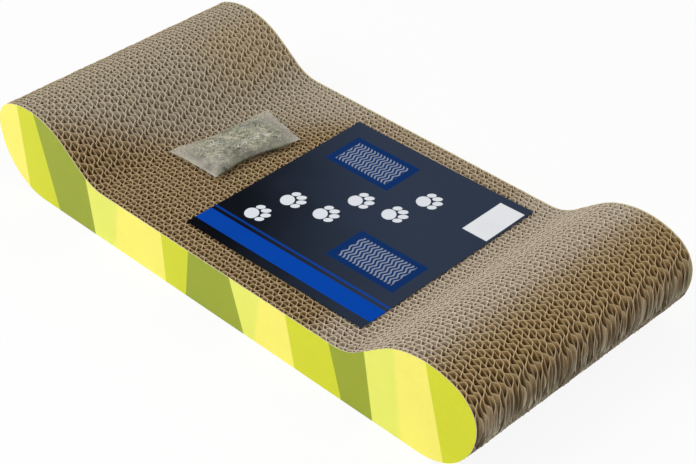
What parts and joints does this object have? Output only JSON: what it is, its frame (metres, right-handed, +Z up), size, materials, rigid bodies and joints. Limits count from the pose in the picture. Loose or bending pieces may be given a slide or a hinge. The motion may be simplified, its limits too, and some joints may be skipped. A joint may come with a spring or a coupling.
{
  "type": "cardboard cat scratcher",
  "caption": "Long scratching block of upright corrugated board strips, with a flat waist between two rounded raised ends, a loose card label and a small pouch of catnip.",
  "frame": {"origin": "middle of the footprint, on the floor", "axes": "+X along the block towards the label's end, +Y from the near printed side to the far side, +Z up"},
  "size_m": [0.48, 0.2128, 0.077],
  "materials": {
    "printed_board": "satin",
    "corrugated_board": "matte",
    "dried_glue": "satin",
    "label_print": "satin",
    "pouch_film": "gloss",
    "dried_leaf": "matte"
  },
  "bodies": {
    "block": {"near_side_panel": "printed_board", "scratch_strip_01": "corrugated_board", "scratch_strip_02": "corrugated_board", "scratch_strip_03": "corrugated_board", "scratch_strip_04": "corrugated_board", "scratch_strip_05": "corrugated_board", "scratch_strip_06": "corrugated_board", "scratch_strip_07": "corrugated_board", "scratch_strip_08": "corrugated_board", "scratch_strip_09": "corrugated_board", "scratch_strip_10": "corrugated_board", "scratch_strip_11": "corrugated_board", "scratch_strip_12": "corrugated_board", "scratch_strip_13": "corrugated_board", "scratch_strip_14": "corrugated_board", "scratch_strip_15": "corrugated_board", "scratch_strip_16": "corrugated_board", "scratch_strip_17": "corrugated_board", "scratch_strip_18": "corrugated_board", "scratch_strip_19": "corrugated_board", "scratch_strip_20": "corrugated_board", "scratch_strip_21": "corrugated_board", "scratch_strip_22": "corrugated_board", "scratch_strip_23": "corrugated_board", "scratch_strip_24": "corrugated_board", "scratch_strip_25": "corrugated_board", "scratch_strip_26": "corrugated_board", "far_side_panel": "printed_board", "glue_lines": "dried_glue"},
    "label": {"label_card": "label_print"},
    "pouch": {"catnip_pouch": "pouch_film", "catnip_filling": "dried_leaf"}
  },
  "joints": [
    {"name": "label_lift", "type": "slide", "parent": "block", "child": "label", "axis": [0, 0, 1], "range_m": [0, 0.15]},
    {"name": "pouch_lift", "type": "slide", "parent": "block", "child": "pouch", "axis": [0, 0, 1], "range_m": [0, 0.15]}
  ]
}
